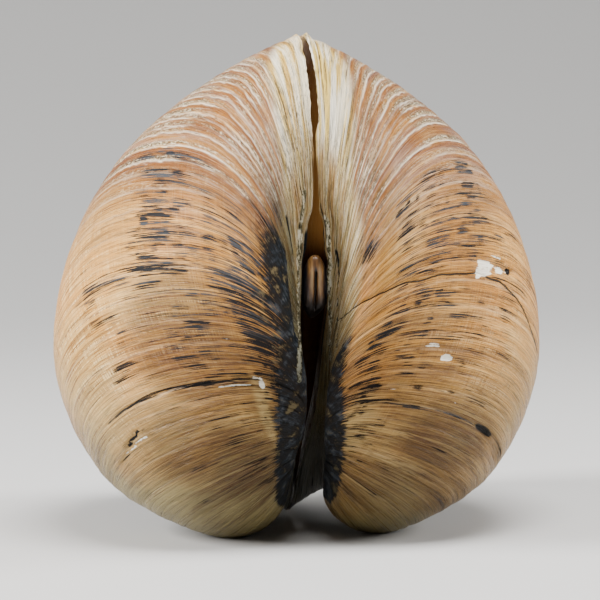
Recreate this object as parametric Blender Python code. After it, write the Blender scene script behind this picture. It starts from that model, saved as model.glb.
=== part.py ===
"""Oxheart clam shell: two closed valves and the ligament between them, lying on their umbones.

A valve is modelled the way it grew. Its rim is one growth line, and every older growth line is the
same outline, smaller, turned about the coiling axis and moved towards the beak. In the row frame
X runs across the two valves, +Z is up and -Y faces the viewer. Sizes are in metres.
"""

import math

import bmesh
import bpy
import numpy as np
from mathutils import Matrix, Vector

MM = 0.001

# Key growth lines from the rim to the beak. turn is the angle about the coiling axis and size the
# line's size beside the rim's. forward, ventral and inward place the outline beside the axis, in
# its own radii, and stretch lengthens it along the hinge.
KEY_LINES = {
    "turn": (0.0, 0.7, 1.4, 2.1, 3.0, 4.3, 6.3),
    "size": (1.0, 0.844, 0.583, 0.343, 0.213, 0.098, 0.03),
    "forward": (-0.63, -0.64, -0.63, -0.39, -0.105, -0.05, -0.05),
    "ventral": (0.766, 0.756, 0.736, 0.722, 0.707, 0.697, 0.697),
    "inward": (0.218, 0.165, 0.109, 0.057, 0.032, 0.025, 0.025),
    "stretch": (0.21, 0.22, 0.235, 0.24, 0.24, 0.15, 0.05),
}
RIM_RADIUS = 36.5 * MM
RIM_COSINES = (0.013, 0.026, 0.017)  # share of the first, second and third harmonic in the outline
RIM_SINES = (0.0, 0.0625, -0.034)
AXIS_LEAN = math.radians(19.9)  # the coiling axis leans outwards from the hinge line
HINGE_SLOPE = math.radians(54.4)  # the front end of the hinge points this far below level
POLE = Vector((8.6, -4.4, 8.94)) * MM  # where the coil of the right valve winds to

# How the grown form is eased to this shell's, in millimetres above the floor or behind the middle.
UMBO_LIFT = 4.1
MIDDLE_HEIGHT = 45.0
POLE_DROP = 4.1
CREST_RISE = 2.5
CREST_FOOT = 31.0
BULGE_DEPTH = 4.5
BULGE_HEIGHT = 14.0
BULGE_REACH = 15.0
BULGE_END = -20.4
BULGE_RUN = 25.0
FRONT_END_DROP = 3.7
FRONT_END_RUN = 18.0
FRONT_END_HEIGHT = 30.0
WAIST_SPREAD = 0.03
WAIST_FOOT = 10.0
WAIST_RISE = 20.0
CREST_START = 60.0
CREST_RUN = 20.0
CREST_PINCH = 0.09
FOOT_PINCH = 0.15
FOOT_HEIGHT = 9.0
DEPTH_MIDDLE = 1.05  # the middle of the shell's depth, brought to the origin

RIM_SEGMENTS = 48
TURNS = tuple(0.125 * step for step in range(25)) + tuple(3.3 + 0.36 * step for step in range(7))
STEP_TURNS = (0.36, 0.86, 1.2, 1.68, 1.98, 2.35)  # where growth paused and left a ledge
STEP_DEPTH = 0.45 * MM
STEP_RUN = 0.09
NEAR_TURN = 0.06  # an ordinary line this near a pause is left out
LEDGE_TURN = 0.02  # how far from the pause the ledge is deepest

WALL = 2.2 * MM
HINGE_PLATE = 6.0 * MM
CAVITY_TURN = 2.1
CAVITY_LINES = 9

# Half the opening between the rims, by height, on the side that faces the viewer, and elsewhere.
GAPE_HEIGHTS = (0.0, 20.0, 32.0, 36.0, 45.0, 47.0, 51.0, 53.0, 57.0, 60.0, 75.0, 80.0)
GAPE_WIDTHS = (0.3, 1.1, 1.6, 1.95, 1.95, 1.4, 1.2, 0.4, 0.35, 0.6, 0.6, 0.4)
CLOSED_GAPE = 0.2 * MM
GROWN_GAPE = 0.63 * MM  # the rim's distance from the middle as grown
SHOWN_ANGLE = math.radians(215)
SHOWN_REACH = 1.2  # how much of the rim either side of that angle has the opening
GAPE_FADE = 0.35  # the turn over which the opening eases into the valve's side

LIGAMENT_CENTRE = Vector((0.0, -29.2, 40.6)) * MM
LIGAMENT_HALF_SIZE = Vector((1.6, 2.3, 6.2)) * MM
LIGAMENT_TILT = math.radians(25.0)
SLIT_HALF_WIDTH = 0.35 * MM
SLIT_DEPTH = 0.7 * MM

SHELL_COLOUR = (0.62, 0.45, 0.29, 1.0)
LIGAMENT_COLOUR = (0.16, 0.07, 0.025, 1.0)


def main():
    clear_scene()
    shell = finish("shell", SHELL_COLOUR, 0.42)
    horn = finish("ligament", LIGAMENT_COLOUR, 0.3)
    add_object("right_valve", valve_mesh(1), shell)
    add_object("left_valve", valve_mesh(-1), shell)
    add_object("ligament", ligament_mesh(), horn)


def clear_scene():
    for item in list(bpy.data.objects):
        bpy.data.objects.remove(item, do_unlink=True)


def finish(name, colour, roughness):
    material = bpy.data.materials.new(name)
    material.use_nodes = True
    surface = material.node_tree.nodes["Principled BSDF"]
    surface.inputs["Base Color"].default_value = colour
    surface.inputs["Roughness"].default_value = roughness
    surface.inputs["Metallic"].default_value = 0.0
    return material


def add_object(name, bm, material):
    mesh = bpy.data.meshes.new(name)
    bmesh.ops.recalc_face_normals(bm, faces=bm.faces)
    bm.to_mesh(mesh)
    bm.free()
    mesh.materials.append(material)
    mesh.shade_smooth()
    mesh.set_sharp_from_angle(angle=math.radians(50))
    item = bpy.data.objects.new(name, mesh)
    bpy.context.scene.collection.objects.link(item)
    return item


def spline(knots, values):
    """A function that runs smoothly through the values at the knots, straight at both ends."""
    knots = np.array(knots)
    values = np.array(values)
    steps = np.diff(knots)
    slopes = np.diff(values) / steps
    system = np.eye(len(knots))
    right_side = np.zeros(len(knots))
    for i in range(1, len(steps)):
        system[i, i - 1 : i + 2] = steps[i - 1], 2 * (steps[i - 1] + steps[i]), steps[i]
        right_side[i] = 6 * (slopes[i] - slopes[i - 1])
    bends = np.linalg.solve(system, right_side)

    def at(place):
        i = int(np.clip(np.searchsorted(knots, place) - 1, 0, len(steps) - 1))
        back = (knots[i + 1] - place) / steps[i]
        ahead = (place - knots[i]) / steps[i]
        sag = (back**3 - back) * bends[i] + (ahead**3 - ahead) * bends[i + 1]
        return back * values[i] + ahead * values[i + 1] + sag * steps[i] ** 2 / 6

    return at


LINE_AT = {name: spline(KEY_LINES["turn"], KEY_LINES[name]) for name in KEY_LINES}
LOG_SIZE_AT = spline(KEY_LINES["turn"], np.log(KEY_LINES["size"]))


def eased(share):
    share = min(max(share, 0.0), 1.0)
    return share * share * (3 - 2 * share)


def outline_radius(angle):
    """The rim's outline as a share of its radius. Angle 0 is its front end, a quarter turn its belly."""
    waves = zip(RIM_COSINES, RIM_SINES)
    return 1 + sum(
        cosine * math.cos(order * angle) + sine * math.sin(order * angle)
        for order, (cosine, sine) in enumerate(waves, 1)
    )


def ledge(turn):
    """How far the surface lies under the ledge of the next older pause in growth."""
    return sum(
        STEP_DEPTH * math.exp((turn - pause) / STEP_RUN) for pause in STEP_TURNS if turn < pause
    )


def growth_point(turn, angle, inset=0.0):
    """A point of the right valve's growth line at this turn, moved inwards in its plane by inset."""
    size = math.exp(LOG_SIZE_AT(turn))
    radius = RIM_RADIUS * size
    reach = outline_radius(angle) * radius - inset
    stretch = LINE_AT["stretch"](turn)
    forward = LINE_AT["forward"](turn) * radius + reach * math.cos(angle) * (1 + stretch)
    ventral = LINE_AT["ventral"](turn) * radius + reach * math.sin(angle) * (1 - stretch)
    inward = LINE_AT["inward"](turn) * radius
    axis = Vector((math.sin(AXIS_LEAN), math.cos(AXIS_LEAN), 0))
    across, along, down = Matrix.Rotation(turn, 3, axis) @ Vector((-inward, forward, ventral))
    c, s = math.cos(HINGE_SLOPE), math.sin(HINGE_SLOPE)
    return settled(POLE + Vector((across, along * c + down * s, down * c - along * s)))


def settled(point):
    """Eases a grown point to the shell's own form: squat umbones, a raised crest, a full front."""
    x, y, z = point / MM
    z += UMBO_LIFT * max(0.0, 1 - z / MIDDLE_HEIGHT) ** 2 - POLE_DROP
    z += CREST_RISE * max(0.0, (z - CREST_FOOT) / MIDDLE_HEIGHT) ** 2
    front = 1 - eased((y - BULGE_END) / BULGE_RUN)
    y -= BULGE_DEPTH * math.exp(-(((z - BULGE_HEIGHT) / BULGE_REACH) ** 2)) * front
    z -= FRONT_END_DROP * eased(y / FRONT_END_RUN) * max(0.0, 1 - z / FRONT_END_HEIGHT) ** 2
    waist = WAIST_SPREAD * eased((z - WAIST_FOOT) / WAIST_RISE)
    x *= 1 + waist - CREST_PINCH * eased((z - CREST_START) / CREST_RUN)
    x *= 1 - FOOT_PINCH * max(0.0, 1 - z / FOOT_HEIGHT) ** 2
    return Vector((x, y - DEPTH_MIDDLE, z)) * MM


def gaping(point, turn, angle):
    """The rim opened: wide at the ligament, narrow above it and almost shut round the belly."""
    shown = eased(0.5 + SHOWN_REACH * math.cos(angle - SHOWN_ANGLE))
    width = np.interp(point.z / MM, GAPE_HEIGHTS, GAPE_WIDTHS) * MM
    half = CLOSED_GAPE + (width - CLOSED_GAPE) * shown
    return point + Vector(((half - GROWN_GAPE) * math.exp(-turn / GAPE_FADE), 0, 0))


def next_line(bm, line, points):
    """A growth line extruded from this one, with each vertex at its own point."""
    edges = [bm.edges.get((line[i - 1], line[i])) for i in range(len(line))]
    made = bmesh.ops.extrude_edge_only(bm, edges=edges)["geom"]
    fresh = {item for item in made if isinstance(item, bmesh.types.BMVert)}
    drawn = []
    for vert, point in zip(line, points):
        twin = next(edge.other_vert(vert) for edge in vert.link_edges if edge.other_vert(vert) in fresh)
        twin.co = point
        drawn.append(twin)
    return drawn


def close_line(bm, line, tip):
    """Closes the last line on one vertex."""
    bmesh.ops.pointmerge(bm, verts=next_line(bm, line, [tip] * len(line)), merge_co=tip)


def valve_mesh(side):
    """One valve, hollow, with its rim in the plane between the two: side is 1 on the right."""
    bm = bmesh.new()
    angles = [math.tau * i / RIM_SEGMENTS for i in range(RIM_SEGMENTS)]
    smooth = [turn for turn in TURNS if min(abs(turn - pause) for pause in STEP_TURNS) > NEAR_TURN]
    turns = sorted(smooth + list(STEP_TURNS) + [pause - LEDGE_TURN for pause in STEP_TURNS])

    def placed(turn, angle, inset):
        point = gaping(growth_point(turn, angle, inset), turn, angle)
        return Vector((side * point.x, point.y, point.z))

    circle = bmesh.ops.create_circle(bm, cap_ends=False, segments=RIM_SEGMENTS, radius=RIM_RADIUS)
    rim = sorted(circle["verts"], key=lambda vert: math.atan2(vert.co.y, vert.co.x) % math.tau)
    for vert, angle in zip(rim, angles):
        vert.co = placed(0.0, angle, 0.0)

    line = rim
    for turn in turns[1:]:
        line = next_line(bm, line, [placed(turn, angle, ledge(turn)) for angle in angles])
    tip = sum((vert.co for vert in line), Vector()) / len(line)
    close_line(bm, line, tip)

    line = rim
    for step in range(CAVITY_LINES):
        turn = CAVITY_TURN * step / (CAVITY_LINES - 1)
        size = math.exp(LOG_SIZE_AT(turn))
        insets = [WALL + HINGE_PLATE * size * max(0.0, -math.sin(angle)) ** 2 for angle in angles]
        line = next_line(bm, line, [placed(turn, a, inset) for a, inset in zip(angles, insets)])
    close_line(bm, line, sum((vert.co for vert in line), Vector()) / len(line))

    rest_on_floor(bm)
    return bm


def rest_on_floor(bm):
    """Grinds the umbo and the front end flat where they carry the shell."""
    cut = bmesh.ops.bisect_plane(
        bm,
        geom=bm.verts[:] + bm.edges[:] + bm.faces[:],
        dist=1e-7,
        plane_co=(0, 0, 0),
        plane_no=(0, 0, -1),
        clear_outer=True,
    )
    edges = [item for item in cut["geom_cut"] if isinstance(item, bmesh.types.BMEdge)]
    bmesh.ops.holes_fill(bm, edges=edges, sides=0)


def ligament_mesh():
    """The horny band that joins the valves behind the umbones, with its old split down the middle."""
    bm = bmesh.new()
    bmesh.ops.create_uvsphere(bm, u_segments=24, v_segments=14, radius=1.0)
    bmesh.ops.scale(bm, vec=LIGAMENT_HALF_SIZE, verts=bm.verts)
    for vert in bm.verts:
        if vert.co.y < 0 and abs(vert.co.x) < SLIT_HALF_WIDTH:
            vert.co.y += SLIT_DEPTH * (1 - (vert.co.z / LIGAMENT_HALF_SIZE.z) ** 2)
    bmesh.ops.rotate(bm, cent=(0, 0, 0), matrix=Matrix.Rotation(LIGAMENT_TILT, 3, "X"), verts=bm.verts)
    bmesh.ops.translate(bm, vec=LIGAMENT_CENTRE, verts=bm.verts)
    return bm


main()
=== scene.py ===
import math
import random

import bmesh
import bpy
import numpy as np
from mathutils import Matrix, Quaternion, Vector, noise


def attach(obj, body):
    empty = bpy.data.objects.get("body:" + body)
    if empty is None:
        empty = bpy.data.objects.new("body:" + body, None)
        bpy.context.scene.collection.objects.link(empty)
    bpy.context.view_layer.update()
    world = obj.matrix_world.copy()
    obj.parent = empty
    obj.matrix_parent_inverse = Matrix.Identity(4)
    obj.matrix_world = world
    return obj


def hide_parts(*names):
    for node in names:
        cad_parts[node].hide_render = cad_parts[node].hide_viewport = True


print("frame: loading the solids")
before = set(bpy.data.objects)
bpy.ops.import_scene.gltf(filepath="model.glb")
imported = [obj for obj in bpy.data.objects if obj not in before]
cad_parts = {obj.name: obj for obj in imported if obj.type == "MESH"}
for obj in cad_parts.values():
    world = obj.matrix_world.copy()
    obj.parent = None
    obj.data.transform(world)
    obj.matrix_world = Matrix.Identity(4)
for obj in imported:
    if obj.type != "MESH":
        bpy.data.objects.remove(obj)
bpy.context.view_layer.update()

mm = 0.001


def eased(share):
    share = np.clip(share, 0.0, 1.0)
    return share * share * (3 - 2 * share)


def splineThrough(knots, values):
    # natural cubic spline, straight at both ends
    knots, values = np.array(knots), np.array(values)
    steps = np.diff(knots)
    slopes = np.diff(values) / steps
    system = np.eye(len(knots))
    rightSide = np.zeros(len(knots))
    for i in range(1, len(steps)):
        system[i, i - 1 : i + 2] = steps[i - 1], 2 * (steps[i - 1] + steps[i]), steps[i]
        rightSide[i] = 6 * (slopes[i] - slopes[i - 1])
    bends = np.linalg.solve(system, rightSide)

    def at(place):
        i = int(np.clip(np.searchsorted(knots, place) - 1, 0, len(steps) - 1))
        back = (knots[i + 1] - place) / steps[i]
        ahead = (place - knots[i]) / steps[i]
        sag = (back**3 - back) * bends[i] + (ahead**3 - ahead) * bends[i + 1]
        return back * values[i] + ahead * values[i + 1] + sag * steps[i] ** 2 / 6

    return at


def noiseOver(places, *scale):
    # soft noise, about -1 to 1, read at every place of a field
    x, y, z = (places[..., i].ravel() * scale[i] for i in range(3))
    return np.array([noise.noise(Vector(p)) for p in zip(x, y, z)]).reshape(places.shape[:-1])


# how a valve grows
growth = {
    "turn": (0.0, 0.7, 1.4, 2.1, 3.0, 4.3, 6.3),  # radians wound back from the rim
    "size": (1.0, 0.844, 0.583, 0.343, 0.213, 0.098, 0.03),  # growth line beside the rim
    "forward": (-0.63, -0.64, -0.63, -0.39, -0.105, -0.05, -0.05),
    "ventral": (0.766, 0.756, 0.736, 0.722, 0.707, 0.697, 0.697),
    "inward": (0.218, 0.165, 0.109, 0.057, 0.032, 0.025, 0.025),
    "stretch": (0.21, 0.22, 0.235, 0.24, 0.24, 0.15, 0.05),
    "rimRadius": 36.5,  # millimetres, as all lengths here
    "rimCosines": (0.013, 0.026, 0.017),
    "rimSines": (0.0, 0.0625, -0.034),
    "axisLean": math.radians(19.9),
    "hingeSlope": math.radians(54.4),
    "pole": (8.6, -4.4, 8.94),
}

form = {  # how the grown valve is eased to this shell
    "umboLift": 4.1,
    "middleHeight": 45.0,
    "poleDrop": 4.1,
    "crestRise": 2.5,
    "crestFoot": 31.0,
    "bulgeDepth": 4.5,
    "bulgeHeight": 14.0,
    "bulgeReach": 15.0,
    "bulgeEnd": -20.4,
    "bulgeRun": 25.0,
    "frontDrop": 3.7,
    "frontRun": 18.0,
    "frontHeight": 30.0,
    "waistSpread": 0.03,
    "waistFoot": 10.0,
    "waistRise": 20.0,
    "crestStart": 60.0,
    "crestPinch": 0.09,
    "footPinch": 0.15,
    "footHeight": 9.0,
    "depthMiddle": 1.05,
}

gape = {  # half the opening between the rims, by height
    "heights": (0, 20, 32, 36, 45, 47, 51, 53, 57, 62, 67, 75, 80),
    "widths": (0.3, 1.1, 1.6, 1.95, 1.95, 1.4, 1.1, 0.4, 0.28, 0.32, 0.6, 0.62, 0.4),
    "closed": 0.2,
    "grown": 0.63,
    "shownAngle": math.radians(215),
    "fade": 0.35,
}

grid = {
    "columns": 230,
    "outerLines": 330,
    "innerLines": 16,
    "beakTurn": 6.3,
    "cavityTurn": 2.1,
    "wall": 2.2,
    "hingePlate": 6.0,
}

lineAt = {
    name: splineThrough(growth["turn"], growth[name])
    for name in ("forward", "ventral", "inward", "stretch")
}
logSizeAt = splineThrough(growth["turn"], np.log(growth["size"]))


def outlineRadius(angle):
    waves = zip(growth["rimCosines"], growth["rimSines"])
    return 1 + sum(c * np.cos(n * angle) + s * np.sin(n * angle) for n, (c, s) in enumerate(waves, 1))


def growthLine(turn, angles, inset):
    # points of the right valve's growth line, in millimetres
    radius = growth["rimRadius"] * math.exp(logSizeAt(turn))
    reach = outlineRadius(angles) * radius - inset
    stretch = lineAt["stretch"](turn)
    forward = lineAt["forward"](turn) * radius + reach * np.cos(angles) * (1 + stretch)
    ventral = lineAt["ventral"](turn) * radius + reach * np.sin(angles) * (1 - stretch)
    inward = np.full_like(angles, -lineAt["inward"](turn) * radius)
    axis = Vector((math.sin(growth["axisLean"]), math.cos(growth["axisLean"]), 0))
    wound = np.stack([inward, forward, ventral], 1) @ np.array(Matrix.Rotation(turn, 3, axis)).T
    c, s = math.cos(growth["hingeSlope"]), math.sin(growth["hingeSlope"])
    x, along, down = wound.T
    px, py, pz = growth["pole"]
    return settled(np.stack([px + x, py + along * c + down * s, pz + down * c - along * s], 1))


def settled(points):
    f = form
    x, y, z = points.T
    z = z + f["umboLift"] * np.maximum(0, 1 - z / f["middleHeight"]) ** 2 - f["poleDrop"]
    z = z + f["crestRise"] * np.maximum(0, (z - f["crestFoot"]) / f["middleHeight"]) ** 2
    front = 1 - eased((y - f["bulgeEnd"]) / f["bulgeRun"])
    y = y - f["bulgeDepth"] * np.exp(-(((z - f["bulgeHeight"]) / f["bulgeReach"]) ** 2)) * front
    z = z - f["frontDrop"] * eased(y / f["frontRun"]) * np.maximum(0, 1 - z / f["frontHeight"]) ** 2
    waist = f["waistSpread"] * eased((z - f["waistFoot"]) / f["waistRise"])
    x = x * (1 + waist - f["crestPinch"] * eased((z - f["crestStart"]) / f["waistRise"]))
    x = x * (1 - f["footPinch"] * np.maximum(0, 1 - z / f["footHeight"]) ** 2)
    return np.stack([x, y - f["depthMiddle"], z], 1)


def gapeShift(points, turn, angles):
    shown = eased(0.5 + 1.2 * np.cos(angles - gape["shownAngle"]))
    width = np.interp(points[:, 2], gape["heights"], gape["widths"])
    half = gape["closed"] + (width - gape["closed"]) * shown
    return (half - gape["grown"]) * math.exp(-turn / gape["fade"])


# marks of each valve, placed by angle in degrees and turn on its growth lines
leftMarks = {
    "seed": 11.0,
    # where growth paused: turn, depth of the ledge in millimetres, strength of its colours
    "pauses": (
        (0.06, 0.10, 0.5), (0.12, 0.14, 0.6), (0.175, 0.12, 0.6), (0.23, 0.16, 0.9), (0.262, 0.12, 0.8),
        (0.30, 0.20, 1.0), (0.345, 0.16, 1.0), (0.375, 0.14, 0.9), (0.42, 0.20, 1.0),
        (0.455, 0.12, 0.7), (0.495, 0.20, 1.0), (0.54, 0.16, 1.0), (0.565, 0.10, 0.8),
        (0.60, 0.16, 0.8), (0.63, 0.10, 0.7), (0.69, 0.26, 1.0), (0.75, 0.18, 0.9), (0.80, 0.10, 0.4),
        (0.86, 0.14, 0.4), (0.93, 0.10, 0.3), (1.01, 0.10, 0.3), (1.08, 0.08, 0.2), (1.14, 0.18, 0.5),
        (1.23, 0.10, 0.3), (1.33, 0.10, 0.4), (1.42, 0.14, 0.4), (1.50, 0.10, 0.2), (1.595, 0.42, 0.6),
        (1.66, 0.10, 0.4), (1.73, 0.22, 0.3), (1.86, 0.10, 0.3), (2.02, 0.14, 0.3), (2.18, 0.16, 0.3),
        (2.42, 0.2, 0.3), (2.7, 0.2, 0.2),
    ),
    "streaks": (  # angle, turn, half length in degrees, half width in turn, strength
        (150, 0.72, 26, 0.012, 0.9), (165, 0.735, 10, 0.010, 0.9), (152, 0.80, 14, 0.016, 1.1),
        (172, 0.83, 22, 0.012, 0.8), (150, 0.90, 14, 0.05, 0.55), (152, 1.00, 17, 0.014, 0.95),
        (150, 1.045, 14, 0.012, 0.95), (148, 1.09, 15, 0.014, 0.6), (146, 1.13, 16, 0.018, 1.15),
        (176, 0.89, 4, 0.05, 0.75), (177, 0.97, 5, 0.05, 0.7), (178, 1.06, 5, 0.05, 0.6),
        (181, 1.16, 5, 0.06, 0.7), (188, 1.00, 11, 0.14, 0.8), (190, 1.20, 14, 0.10, 1.1),
        (188, 1.13, 16, 0.014, 1.35), (191, 1.33, 10, 0.09, 1.3), (194, 1.38, 6, 0.035, 1.5),
        (186, 1.45, 8, 0.05, 0.7), (190, 1.54, 6, 0.03, 0.6), (120, 1.165, 16, 0.018, 0.95),
        (110, 1.165, 4, 0.03, 1.1), (140, 1.22, 18, 0.012, 0.75), (165, 1.215, 12, 0.012, 0.6),
        (155, 1.30, 16, 0.012, 0.7), (162, 1.345, 7, 0.022, 1.25), (150, 1.36, 14, 0.010, 0.6),
        (158, 1.43, 14, 0.016, 0.7), (146, 1.42, 12, 0.010, 0.6), (117, 1.445, 6, 0.016, 1.1),
        (147, 1.47, 4, 0.010, 1.1), (130, 1.587, 24, 0.010, 1.05), (150, 1.59, 10, 0.012, 1.35),
        (178, 1.583, 10, 0.016, 1.15), (172, 1.625, 10, 0.014, 1.0), (190, 1.64, 5, 0.012, 0.9),
        (165, 1.66, 20, 0.010, 0.5), (100, 2.31, 4, 0.014, 1.0), (160, 1.78, 25, 0.012, 0.55),
        (175, 1.83, 8, 0.04, 0.55), (165, 1.95, 22, 0.02, 0.75), (150, 2.05, 24, 0.015, 0.6),
        (165, 2.18, 22, 0.02, 0.8), (145, 2.30, 16, 0.05, 0.6), (150, 2.50, 30, 0.03, 0.7),
        (160, 2.75, 20, 0.05, 0.6),
    ),
    "smudges": (
        (186, 1.30, 18, 0.2, 0.5), (176, 1.62, 16, 0.05, 0.6), (160, 1.98, 26, 0.12, 0.7),
        (150, 2.3, 30, 0.2, 0.8), (150, 2.7, 30, 0.2, 0.6), (160, 1.4, 14, 0.05, 0.4),
    ),
    "skinEdge": (  # the dark outer skin is left beyond this angle: turn, angle
        (0.60, 246), (0.64, 225), (0.69, 208), (0.78, 202), (0.885, 199), (1.06, 199), (1.275, 199),
        (1.43, 198), (1.60, 192), (1.695, 191), (2.03, 184), (2.64, 162), (2.95, 138), (3.4, 118),
    ),
    "chips": (
        (182, 1.585, 3.0, 0.014, 0.8), (185.5, 1.605, 1.8, 0.030, 0.9), (180, 1.62, 4, 0.007, 0.8),
        (171, 1.620, 7, 0.007, 1.0), (161, 1.622, 4, 0.005, 0.8), (165, 1.575, 3, 0.006, 0.6),
        (100, 1.735, 5, 0.006, 0.8), (90, 1.745, 6, 0.006, 0.8),
    ),
    "strips": ((182, 1.83, 3.5, 0.22, 0.9), (186, 1.66, 3, 0.05, 0.8)),
    "crack": (),
    "plates": (),
    "seams": (
        (1.590, 84, 192, 0.95), (1.160, 96, 150, 0.6), (1.715, 66, 106, 0.75), (0.735, 140, 182, 0.6),
        (1.335, 120, 190, 0.45), (1.95, 120, 186, 0.45), (2.16, 120, 182, 0.5), (0.62, 150, 200, 0.4),
    ),
    "rimDrops": ((178.3, 191, 1.0),),
    "ridgeLine": (
        (221, 0.16), (224, 0.22), (228, 0.26), (232, 0.30), (234, 0.38), (234, 0.49), (232, 0.69),
        (228, 0.90), (224, 1.09), (218, 1.30), (215, 1.46),
    ),
    "darkLines": (
        (
            (
                (217, 0.47), (220, 0.46), (223, 0.46), (226, 0.47), (226.5, 0.58), (226, 0.72),
                (223.5, 0.87), (220.5, 1.05), (217.5, 1.20),
            ),
            0.20,
        ),
    ),
    "bankTurn": 0.15,
    "dims": ((221, 0.78, 14, 0.34, 1.0), (222, 1.15, 12, 0.25, 0.8)),
    "rimPales": ((174, 0.22, 12, 0.12, 0.5), (190, 0.30, 14, 0.06, 0.6)),
    "flecks": ((212, 0.16, 14, 0.26, 0.85), (196, 0.10, 14, 0.16, 0.3)),
    "speckles": ((200, 0.78, 9, 0.20, 1.0), (206, 0.58, 8, 0.10, 0.8)),
    "rimFolds": (),
    "stains": (
        (154, 1.42, 26, 0.24, 1.15), (132, 1.95, 34, 0.26, 0.75), (152, 2.25, 34, 0.35, 1.0),
        (170, 1.25, 18, 0.25, 0.5), (185, 1.65, 14, 0.3, 0.6), (110, 2.6, 40, 0.4, 0.8),
    ),
    "pales": (
        (142, 1.24, 26, 0.10, 0.8), (114, 1.68, 26, 0.16, 0.6), (118, 1.02, 24, 0.2, 0.4),
        (88, 1.45, 22, 0.3, 0.8), (84, 2.3, 26, 0.4, 0.7),
    ),
    "paleDashes": ((98, 1.28, 26, 0.42, 1.0), (150, 1.30, 22, 0.2, 0.5)),
    "bands": (  # bands of small dark dashes: angle, half width, first and last turn, how many, strength
        (150, 15, 0.70, 1.20, 56, 1.15), (176, 4, 0.84, 1.24, 26, 0.9), (190, 9, 0.95, 1.62, 110, 1.2),
        (191, 5, 1.10, 1.50, 50, 1.2), (160, 16, 0.90, 1.40, 30, 1.0), (165, 22, 1.20, 1.62, 46, 0.85),
        (186, 6, 1.62, 1.95, 26, 0.9), (165, 26, 1.75, 2.75, 70, 0.85), (118, 14, 1.10, 1.50, 18, 0.8),
    ),
    "pits": (
        (96, 1.71, 3.5, 0.009, 0.9), (101, 1.695, 1.8, 0.010, 0.8), (91, 1.725, 2.5, 0.007, 0.8),
        (82, 1.76, 5, 0.005, 0.7),
    ),
    "groove": (),
    "patches": ((212, 0.60, 5, 0.07, 0.6), (206, 0.70, 4, 0.05, 0.6), (200, 0.76, 6, 0.02, 0.6)),
}

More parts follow.
